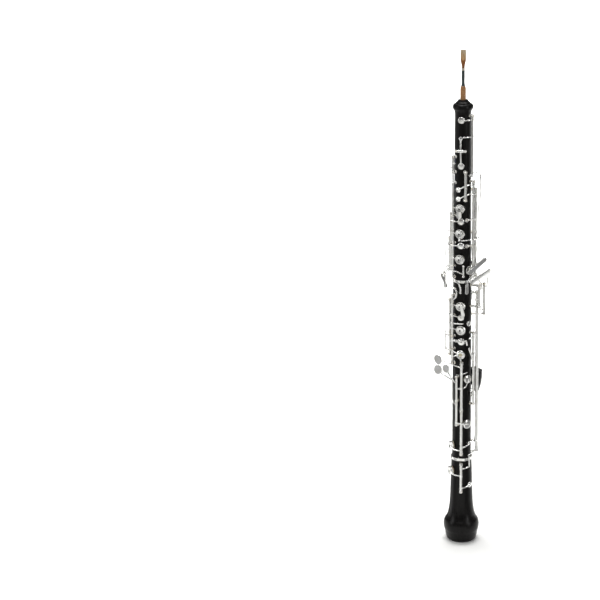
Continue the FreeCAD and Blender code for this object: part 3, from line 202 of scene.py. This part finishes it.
def makeCane():
    material, tree, shader, place = newMaterial(
        "scraped_reed_cane", cane["heart"], 0.5, IOR=1.5, Subsurface_Weight=0.12,
        Subsurface_Scale=0.002)
    # the blades carry how far they are scraped (0 bark, 1 scraped) and how near the tip they are
    scraped = addNode(tree, "ShaderNodeAttribute", attribute_name="scraped").outputs["Fac"]
    nearTip = addNode(tree, "ShaderNodeAttribute", attribute_name="nearTip").outputs["Fac"]
    fibres = addNode(tree, "ShaderNodeTexNoise", {"Vector": stretched(tree, place, (
        1 / cane["fibreWidth"] / 2, 1 / cane["fibreWidth"] / 2, 0.06))},
        {"Scale": 1.0, "Detail": 4.0, "Roughness": 0.65})
    bark = ramp(tree, nearTip, [(0.0, cane["foot"]), (0.45, cane["bark"])])
    wood = ramp(tree, nearTip, [(0.35, cane["heart"]), (0.75, "#c4a57c"), (1.0, cane["tip"])])
    streak = ramp(tree, fibres.outputs["Fac"], [(0.30, "#8f6f4c"), (0.62, "#ffffff")])
    surface = addNode(tree, "ShaderNodeMix", data_type="RGBA")
    tree.links.new(scraped, surface.inputs[0])
    tree.links.new(bark, surface.inputs[6])
    tree.links.new(wood, surface.inputs[7])
    mixed = addNode(tree, "ShaderNodeMix", data_type="RGBA", blend_type="MULTIPLY")
    mixed.inputs[0].default_value = 0.75
    tree.links.new(surface.outputs[2], mixed.inputs[6])
    tree.links.new(streak, mixed.inputs[7])
    tree.links.new(mixed.outputs[2], shader.inputs["Base Color"])
    relief(tree, shader, fibres.outputs["Fac"], 0.03, 0.8)
    gloss = addNode(tree, "ShaderNodeMapRange", {"Value": scraped}, {"To Min": 0.34, "To Max": 0.62})
    tree.links.new(gloss.outputs["Result"], shader.inputs["Roughness"])
    return material


# Waxed polyester thread, wound by hand: dark teal-grey with a soft wax sheen on each turn
def makeThread(name, colour, dark):
    material, tree, shader, place = newMaterial(name, colour, 0.52, IOR=1.5, Sheen_Weight=0.25,
                                                Sheen_Roughness=0.4)
    twist = addNode(tree, "ShaderNodeTexWave", {"Vector": stretched(tree, place, (6.0, 6.0, 2.0))},
                    {"Scale": 1.0, "Distortion": 1.5, "Detail": 2.0})
    tree.links.new(ramp(tree, twist.outputs["Fac"], [(0.2, dark), (0.8, colour)]), shader.inputs["Base Color"])
    relief(tree, shader, twist.outputs["Fac"], 0.02, 0.6)
    return material


# Bladder-skin pad over felt: creamy and matt, slightly wrinkled
def makePadSkin():
    material, tree, shader, place = newMaterial(
        "bladder_skin_pad", "#e6dcc4", 0.55, IOR=1.45, Subsurface_Weight=0.15, Subsurface_Scale=0.001)
    folds = addNode(tree, "ShaderNodeTexNoise", {"Vector": stretched(tree, place, (1.1, 1.1, 1.1))},
                    {"Scale": 1.0, "Detail": 4.0, "Roughness": 0.6})
    tree.links.new(ramp(tree, folds.outputs["Fac"], [(0.30, "#c9b994"), (0.65, "#eee6d2")]), shader.inputs["Base Color"])
    relief(tree, shader, folds.outputs["Fac"], 0.08, 0.7)
    return material


# ABS, injection-moulded with a fine spark-eroded grain: deep black with a soft sheen
# the same black is also laid in the finger plates' vent holes as painted shade
def makeMouldedBlackAndHoleShade():
    material, tree, shader, place = newMaterial("moulded_abs_black_and_painted_hole_shade", "#121213", 0.38, IOR=1.54)
    grain = addNode(tree, "ShaderNodeTexNoise", {"Vector": stretched(tree, place, (4.0, 4.0, 4.0))},
                    {"Scale": 1.0, "Detail": 3.0})
    relief(tree, shader, grain.outputs["Fac"], 0.012, 0.6)
    tree.links.new(ramp(tree, grain.outputs["Fac"], [(0.35, "#0e0e0f"), (0.65, "#18181a")]), shader.inputs["Base Color"])
    return material


finishes = {
    "black_wood": makeGrenadilla(),
    "silver_key": makeSilver("buffed_silver_plate", silver["roughness"], silver["haze"]),
    "silver_post": makeSilver("turned_silver_plate", 0.17, "#cfc6b2"),
    "silver_ring": makeSilver("turned_silver_ring", 0.15, silver["haze"]),
    "steel_rod": makeTurnedSteel(),
    "spring_steel": makeBluedSteel(),
    "cork": makeCork("sanded_cork", "#9c6f45", "#5d3a1f"),
    "reed_cork": makeCork("sanded_cork_handled", "#8a5f3c", "#543319"),
    "cane": makeCane(),
    "thread": makeThread("waxed_thread_dark", "#45504f", "#20282a"),
    "staple_metal": makeSilver("drawn_nickel_plated_brass", 0.25, "#c8bfa6"),
    "pad_skin": makePadSkin(),
    "black_plastic": makeMouldedBlackAndHoleShade(),
}
paleThread = makeThread("waxed_thread_pale", "#cfc7b6", "#a59c89")
print("materials made:", len(finishes))

bodyOf = {}
for body, members in frame["record"]["behaviour"]["bodies"].items():
    for member in members:
        bodyOf[member] = body
slotOf = {entry["node"]: entry["material_slot"] for entry in frame["record"]["subparts"]}


def smoothCopy(node, creaseDegrees=32.0):
    # the CAD node's own triangles, welded into one skin and shaded smooth except at its edges
    source = nodes[node]
    mesh = source.data.copy()
    mesh.materials.clear()
    mesh.materials.append(finishes[slotOf[node]])
    piece = bpy.data.objects.new(node + "_finished", mesh)
    scene.collection.objects.link(piece)
    bpy.context.view_layer.objects.active = piece
    for other in bpy.context.selected_objects:
        other.select_set(False)
    piece.select_set(True)
    bpy.ops.object.mode_set(mode="EDIT")
    bpy.ops.mesh.select_all(action="SELECT")
    bpy.ops.mesh.customdata_custom_splitnormals_clear()
    bpy.ops.mesh.remove_doubles(threshold=2e-6)
    bpy.ops.object.mode_set(mode="OBJECT")
    mesh.shade_smooth()
    mesh.set_sharp_from_angle(angle=math.radians(creaseDegrees))
    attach(piece, bodyOf[node])
    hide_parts(node)
    return piece


def gridSkin(points, wrapRows=False, wrapColumns=True, capStart=False, capEnd=False):
    # points[row, column] in millimetres; each quad joins (r, c), (r, c+1), (r+1, c+1), (r+1, c),
    # and a capped end gets one middle point joined to its ring
    rows, columns = points.shape[:2]
    index = np.arange(rows * columns).reshape(rows, columns)
    flat = points.reshape(-1, 3)
    if wrapRows:
        index = np.vstack([index, index[:1]])
    if wrapColumns:
        index = np.hstack([index, index[:, :1]])
    quads = np.stack([index[:-1, :-1], index[:-1, 1:], index[1:, 1:], index[1:, :-1]], -1).reshape(-1, 4)
    triangles = np.zeros((0, 3), int)
    for wanted, ring, step in ((capStart, index[0], -1), (capEnd, index[-1], 1)):
        if wanted:
            middle = np.full(len(ring) - 1, len(flat))
            flat = np.vstack([flat, flat[ring[:-1]].mean(0)])
            edge = np.stack([ring[:-1], ring[1:]][::step] + [middle], -1)
            triangles = np.vstack([triangles, edge])
    return flat, quads, triangles


def makePiece(name, skins, body, slot, material=None, creaseDegrees=40.0, replaces=()):
    # all the skins in one mesh, turned to metres, riding its body
    starts = np.cumsum([0] + [len(skin[0]) for skin in skins[:-1]])
    vertices = np.vstack([skin[0] for skin in skins]) / 1000
    quads = np.vstack([skin[1] + start for skin, start in zip(skins, starts)])
    triangles = np.vstack([skin[2] + start for skin, start in zip(skins, starts)])
    mesh = bpy.data.meshes.new(name)
    mesh.from_pydata(vertices.tolist(), [], quads.tolist() + triangles.tolist())
    mesh.materials.append(material or finishes[slot])
    mesh.shade_smooth()
    mesh.set_sharp_from_angle(angle=math.radians(creaseDegrees))
    piece = bpy.data.objects.new(name, mesh)
    scene.collection.objects.link(piece)
    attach(piece, body)
    if replaces:
        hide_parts(*replaces)
    return piece


def smoothStep(value):
    # 3t^2 - 2t^3 with t held between 0 and 1
    t = np.clip(value, 0, 1)
    return t * t * (3 - 2 * t)


def lathe(profile, segments=64, wrapRows=False, capStart=False, capEnd=False):
    # each (radius, height) of the profile goes round Z: (r cos a, r sin a, h)
    profile = np.asarray(profile, float)
    angle = np.linspace(0, 2 * math.pi, segments, endpoint=False)
    points = np.stack([profile[:, :1] * np.cos(angle), profile[:, :1] * np.sin(angle),
                       np.repeat(profile[:, 1:], segments, 1)], -1)
    return gridSkin(points, wrapRows=wrapRows, capStart=capStart, capEnd=capEnd)


def sweep(path, radius, sides=8, across=None):
    # a circle of the given radius carried along the path: at each point its two axes are
    # "across" made square to the path's direction, and direction x across
    path = np.asarray(path, float)
    along = np.gradient(path, axis=0)
    along /= np.linalg.norm(along, axis=1, keepdims=True)
    first = np.broadcast_to(np.asarray(across if across is not None else (0, 0, 1), float), path.shape)
    first = first - (first * along).sum(1, keepdims=True) * along
    first = first / np.linalg.norm(first, axis=1, keepdims=True)
    second = np.cross(along, first)
    angle = np.linspace(0, 2 * math.pi, sides, endpoint=False)
    radius = np.broadcast_to(np.asarray(radius, float), (len(path),))[:, None, None]
    ring = np.cos(angle)[None, :, None] * first[:, None] + np.sin(angle)[None, :, None] * second[:, None]
    return gridSkin(path[:, None] + radius * ring, capStart=True, capEnd=True)


# the reed: two blades tied to the staple; heights run from the thread to the tip
reed = {"foot": 628.0, "shoulder": 632.0, "tip": 655.0, "footHalfWidth": 1.75, "tipHalfWidth": 3.5,
        "flare": 12.0, "footHalfDepth": 1.70, "tipHalfDepth": 0.36, "footWall": 0.60, "tipWall": 0.13,
        "scrapeStart": 641.5, "scrapeRise": 3.0, "barkStep": 0.10, "rows": 110, "columns": 36}


def makeBlades():
    # half-width w = foot + (tip - foot) smoothStep((h - shoulder) / flare), half-depth
    # d = foot - (foot - tip) s^1.15; a blade's outside is (w cos u, d sin u) for u from 0 to pi,
    # its inside the same curve one wall thinner, run backwards. The bark stands one step
    # proud below the U-shaped line h = scrapeStart + scrapeRise (x / w)^2.
    r = reed
    height = np.linspace(r["foot"], r["tip"], r["rows"])[:, None]
    share = np.clip((height - r["shoulder"]) / (r["tip"] - r["shoulder"]), 0, 1)
    width = r["footHalfWidth"] + (r["tipHalfWidth"] - r["footHalfWidth"]) * smoothStep(
        (height - r["shoulder"]) / r["flare"])
    depth = r["footHalfDepth"] - (r["footHalfDepth"] - r["tipHalfDepth"]) * share ** 1.15
    wall = r["footWall"] - (r["footWall"] - r["tipWall"]) * share
    turn = np.linspace(0, math.pi, r["columns"])[None, :]
    line = r["scrapeStart"] + r["scrapeRise"] * np.cos(turn) ** 2
    scraped = smoothStep((height - line) / 0.5 + 0.5)
    proud = r["barkStep"] * (1 - scraped) * smoothStep((height - r["foot"]) / 3)
    outer = np.stack([(width + proud * 0.3) * np.cos(turn), (depth + proud) * np.sin(turn) + 0.03,
                      np.repeat(height, r["columns"], 1)], -1)
    inner = np.stack([(width - wall * 0.7) * np.cos(turn), (depth - wall) * np.sin(turn) + 0.03,
                      np.repeat(height, r["columns"], 1)], -1)[:, ::-1]
    section = np.concatenate([outer, inner], 1)
    columns, rows = r["columns"], r["rows"]
    corner = np.arange(columns - 1)
    ends = []
    for first, step in (((rows - 1) * 2 * columns, 1), (0, -1)):
        ends.append(np.stack([corner, corner + 1, 2 * columns - 2 - corner, 2 * columns - 1 - corner], -1)[
            :, ::step] + first)
    skins = []
    for sign in (1, -1):
        points, quads, triangles = gridSkin(section * (sign, sign, 1))
        skins.append((points, np.vstack([quads] + ends), triangles))
    piece = makePiece("reed_blades", skins, "body", "cane", creaseDegrees=50, replaces=("reed_cane",))
    scrapedAll = np.concatenate([scraped, np.ones_like(scraped)], 1)
    tipAll = np.repeat(np.clip((height - r["foot"]) / (r["tip"] - r["foot"]), 0, 1), 2 * columns, 1)
    for name, values in (("scraped", scrapedAll), ("nearTip", tipAll)):
        attribute = piece.data.attributes.new(name, "FLOAT", "POINT")
        attribute.data.foreach_set("value", np.tile(values.ravel(), 2).astype(np.float32))


# the thread: one strand wound round the staple and the foot of the cane, with a pale band
# below the blades and a knot under it
binding = {"low": 609.9, "high": 631.8, "paleFrom": 629.0, "strand": 0.34, "waist": 612.6,
           "footRadius": 2.35, "waistRadius": 1.72, "topRadius": 1.90, "pointsPerTurn": 22, "sides": 7}


def bindingRadius(height):
    # the winding's middle: falls from the cork's end to the waist, then widens over the cane
    b = binding
    foot = b["waistRadius"] + (b["footRadius"] - b["waistRadius"]) * (1 - smoothStep(
        (height - b["low"]) / (b["waist"] - b["low"])))
    return foot + (b["topRadius"] - b["waistRadius"]) * smoothStep((height - b["waist"]) / 10)


def makeBinding():
    # helix: height rises one strand a turn, (R(h) cos a, R(h) sin a, h)
    b = binding
    for name, low, high, material in (
            ("reed_winding", b["low"], b["paleFrom"], None),
            ("reed_winding_pale", b["paleFrom"], b["high"], paleThread)):
        turns = (high - low) / b["strand"]
        angle = np.linspace(0, 2 * math.pi * turns, int(turns * b["pointsPerTurn"]))
        height = low + b["strand"] * angle / (2 * math.pi)
        radius = bindingRadius(height)
        outwards = np.stack([np.cos(angle), np.sin(angle), np.zeros_like(angle)], -1)
        path = outwards * radius[:, None] + np.stack([0 * angle, 0 * angle, height], -1)
        strand = sweep(path, b["strand"] * 0.52, b["sides"], outwards)
        levels = np.linspace(low, high, 30)
        core = lathe(np.stack([bindingRadius(levels) - 0.05, levels], -1), 32, capStart=True, capEnd=True)
        replaced = ("reed_binding",) if material is None else ()
        makePiece(name, [strand, core], "body", "thread", material, replaces=replaced)
    # the knot: a small ball of two crossed loops on the front
    angle = np.linspace(0, 2 * math.pi, 40)
    loops = []
    for tilt in (0.5, -0.5):
        loop = np.stack([0.55 * np.cos(angle), -bindingRadius(628.2) - 0.24 - 0.05 * np.sin(2 * angle),
                         628.2 + 0.42 * np.sin(angle) + tilt * 0.5 * np.cos(angle)], -1)
        loops.append(sweep(loop, b["strand"] * 0.5, b["sides"], (0, 1, 0)))
    makePiece("reed_knot", loops, "body", "thread")


# the reed's cork: a sleeve with rounded ends, a glued seam and faint rings pressed by the well
sleeve = {"low": 573.0, "high": 609.4, "radius": 3.5, "innerRadius": 2.25, "topRadius": 3.05,
          "round": 0.7, "seamDepth": 0.07, "rows": 90, "columns": 96}


def makeSleeve():
    # radius = R + 0.03 sin(h) ripples - a seam groove exp(-(a/0.05)^2); the ends turn in on arcs
    c = sleeve
    share = np.linspace(0, 1, c["rows"])
    height = c["low"] + (c["high"] - c["low"]) * share
    fromEnd = np.minimum(height - c["low"], c["high"] - height)
    turnIn = c["round"] - np.sqrt(np.maximum(c["round"] ** 2 - np.maximum(c["round"] - fromEnd, 0) ** 2, 0))
    angle = np.linspace(-math.pi, math.pi, c["columns"], endpoint=False)
    slope = np.maximum(0, (share - 0.9) / 0.1) * (c["radius"] - c["topRadius"])
    ripple = 0.02 * np.sin(height * 3.1) + 0.02 * np.sin(height * 1.3 + 1)
    radius = (c["radius"] - turnIn - slope + ripple * (fromEnd > 0.5))[:, None] - c["seamDepth"] * np.exp(
        -((angle - 0.7 - 0.01 * height[:, None] + 6) / 0.05) ** 2)
    outer = np.stack([radius * np.cos(angle), radius * np.sin(angle), np.repeat(height[:, None], len(angle), 1)], -1)
    ends = []
    for level in (c["high"], c["low"]):
        ends.append(np.stack([c["innerRadius"] * np.cos(angle), c["innerRadius"] * np.sin(angle),
                              np.full_like(angle, level)], -1)[None])
    skin = gridSkin(np.concatenate([outer] + ends, 0), wrapRows=True)
    makePiece("reed_sleeve", [skin], "body", "cork", finishes["reed_cork"], replaces=("reed_cork",))


# the finger plates: where each hole is (degrees round, height) and its plate's hinge line (degrees, distance)
plates = {
    "half_hole_key": {"hole": (1, 455.5), "line": (-42, 14.8)},
    "a_key": {"hole": (1, 422.8), "line": (-42, 14.8)},
    "g_key": {"hole": (1, 389.3), "line": (-42, 14.8)},
    "f_sharp_key": {"hole": (6, 327.0), "line": (-38, 16.0)},
    "e_key": {"hole": (8, 295.1), "line": (-38, 16.0)},
}
# painted shade for the finger plates' vent holes: a black dome set in each hole to darken it
ventHoleShade = {"radius": 1.45, "sideStep": -0.7, "aboveSeat": 4.22, "domeRise": 0.16, "rings": 8,
           "columns": 32, "open": -9.0, "seatDepth": 1.2}
woodProfile = {"height": (118.0, 361.0, 361.01, 575.0), "radius": (12.25, 11.8, 11.35, 10.2)}


def makeVentHoleShades():
    # painted shade: a shallow black dome in each plate's middle hole stands in for the dark of the deep hole;
    # (r cos a, r sin a, rise (1 - (r/R)^2)) laid on the plate, then turned about the plate's hinge by its
    # standing-open angle
    v = ventHoleShade
    radius = np.linspace(v["radius"], v["radius"] / v["rings"], v["rings"])[:, None]
    angle = np.linspace(0, 2 * math.pi, v["columns"], endpoint=False)[None, :]
    dome = np.stack([radius * np.cos(angle) + v["sideStep"], radius * np.sin(angle),
                     v["domeRise"] * (1 - (radius / v["radius"]) ** 2) + 0 * angle], -1)
    opening = math.radians(v["open"])
    turn = np.array(((math.cos(opening), math.sin(opening)), (-math.sin(opening), math.cos(opening))))
    for key, plate in plates.items():
        theta = math.radians(plate["hole"][0])
        side = np.array((math.cos(theta), math.sin(theta), 0))
        outwards = np.array((math.sin(theta), -math.cos(theta), 0))
        wood = np.interp(plate["hole"][1], woodProfile["height"], woodProfile["radius"])
        points = (dome[..., :1] * side + dome[..., 1:2] * np.array((0, 0, 1))
                  + (dome[..., 2:] + wood - v["seatDepth"] + v["aboveSeat"]) * outwards
                  + np.array((0, 0, plate["hole"][1])))
        hinge = math.radians(plate["line"][0])
        centre = plate["line"][1] * np.array((math.sin(hinge), -math.cos(hinge)))
        points[..., :2] = (points[..., :2] - centre) @ turn + centre
        # the dome takes the black slot's colour as painted shade, not as a moulded part
        makePiece(key + "_hole_shade", [gridSkin(points, capEnd=True)], key, "black_plastic")


detailed = ("reed_cane", "reed_binding", "reed_cork")
for nodeName in nodes:
    if nodeName not in detailed:
        smoothCopy(nodeName)
print("CAD nodes finished:", len(nodes) - len(detailed))
makeBlades()
makeBinding()
makeSleeve()
print("reed made")
makeVentHoleShades()
print("vent hole shades made")

# plain pale floor and soft studio light
studio = {"floorSize": 40.0, "floorColour": "#f4f4f2", "worldStrength": 0.22, "worldColour": "#ffffff"}


def makeStudio():
    s = studio
    size = s["floorSize"] / 2
    mesh = bpy.data.meshes.new("studio_floor")
    mesh.from_pydata([(-size, -size, 0), (size, -size, 0), (size, size, 0), (-size, size, 0)], [], [(0, 1, 2, 3)])
    floor = bpy.data.objects.new("studio_floor", mesh)
    scene.collection.objects.link(floor)
    material, tree, shader, place = newMaterial("matt_paper_sweep", s["floorColour"], 0.9)
    mesh.materials.append(material)
    floor.location.z = -0.0005
    world = bpy.data.worlds.new("studio")
    scene.world = world
    world.use_nodes = True
    background = world.node_tree.nodes["Background"]
    background.inputs["Color"].default_value = linearColour(s["worldColour"])
    background.inputs["Strength"].default_value = s["worldStrength"]


# softboxes: size (wide, tall), place, aim, power in watts, spread in degrees; the overhead
# panel lights the floor behind the oboe, so that the metal has a darker room to reflect
softboxes = {
    "left_strip": {"size": (0.35, 1.7), "place": (-1.6, -1.0, 0.95), "aim": (0, 0, 0.33), "power": 9, "spread": 180},
    "right_strip": {"size": (0.35, 1.7), "place": (1.7, -0.8, 0.95), "aim": (0, 0, 0.33), "power": 9, "spread": 180},
    "overhead_panel": {"size": (3.6, 9.0), "place": (-1.45, 4.45, 4.0), "aim": (-1.45, 4.46, 0.0),
                       "turn": 18, "power": 232, "spread": 62},
    "front_panel": {"size": (1.6, 1.0), "place": (0.0, -1.8, 2.6), "aim": (0, 0, 0.33), "power": 16, "spread": 180},
}


def aimed(place, aim, roll=0.0):
    # looks along -Z from place to aim, with its own Y upwards, turned by roll about its view
    place, aim = np.array(place, float), np.array(aim, float)
    forward = (aim - place) / np.linalg.norm(aim - place)
    right = np.cross(forward, (0, 0, 1))
    right /= np.linalg.norm(right)
    up = np.cross(right, forward)
    rolledRight = math.cos(roll) * right + math.sin(roll) * up
    rolledUp = -math.sin(roll) * right + math.cos(roll) * up
    turn = np.eye(4)
    turn[:3, 0], turn[:3, 1], turn[:3, 2], turn[:3, 3] = rolledRight, rolledUp, -forward, place
    return Matrix(turn.tolist())


# dark cards laid round the oboe that only reflections see, so that the metal gets dark edges;
# each is a ring sector: from and to in degrees round from the front, radii in metres
flags = {
    "left_flag": {"from": -80, "to": -38, "near": 0.10, "far": 2.4, "colour": "#a2a2a2"},
    "right_flag": {"from": 46, "to": 104, "near": 0.10, "far": 2.4, "colour": "#858586"},
    "back_flag": {"from": -150, "to": -118, "near": 0.10, "far": 2.4, "colour": "#303031"},
}
flagHeight = 0.0005


def makeFlags():
    # sector grid: (r sin a, -r cos a, flagHeight)
    for name, flag in flags.items():
        radius, angle = np.meshgrid(np.linspace(flag["near"], flag["far"], 4),
                                    np.radians(np.linspace(flag["from"], flag["to"], 16)))
        points = np.stack([radius * np.sin(angle), -radius * np.cos(angle),
                           np.full_like(radius, flagHeight)], -1)
        corners, quads, triangles = gridSkin(points, wrapColumns=False)
        mesh = bpy.data.meshes.new(name)
        mesh.from_pydata(corners.tolist(), [], quads.tolist())
        mesh.materials.append(newMaterial(name + "_velvet_card", flag["colour"], 0.95)[0])
        card = bpy.data.objects.new(name, mesh)
        card.visible_camera = False
        card.visible_shadow = False
        card.visible_diffuse = False
        scene.collection.objects.link(card)


def makeSoftboxes():
    for name, box in softboxes.items():
        data = bpy.data.lights.new(name, "AREA")
        data.shape = "RECTANGLE"
        data.size, data.size_y = box["size"]
        data.energy = box["power"]
        data.spread = math.radians(box["spread"])
        light = bpy.data.objects.new(name, data)
        light.matrix_world = aimed(box["place"], box["aim"], math.radians(box.get("turn", 0)))
        scene.collection.objects.link(light)


# the camera stands a little to the oboe's left and above its middle, and looks past it
cameraView = {"azimuth": 13.0, "distance": 2350.0, "height": 1072.0, "yaw": 18.078,
              "pitch": -17.450, "roll": -1.2655, "lens": 114.83, "sensor": 36.0}


def makeCamera():
    c = cameraView
    azimuth, yaw, pitch = [math.radians(c[k]) for k in ("azimuth", "yaw", "pitch")]
    place = np.array((c["distance"] * math.sin(azimuth), -c["distance"] * math.cos(azimuth), c["height"])) / 1000
    forward = np.array((-math.sin(yaw) * math.cos(pitch), math.cos(yaw) * math.cos(pitch), math.sin(pitch)))
    data = bpy.data.cameras.new("camera")
    data.lens, data.sensor_width = c["lens"], c["sensor"]
    data.dof.use_dof = False
    camera = bpy.data.objects.new("camera", data)
    camera.matrix_world = aimed(place, place + forward, math.radians(c["roll"]))
    scene.collection.objects.link(camera)
    scene.camera = camera


makeStudio()
makeFlags()
makeSoftboxes()
makeCamera()
scene.view_settings.view_transform = "Standard"
print("studio, lights and camera made")
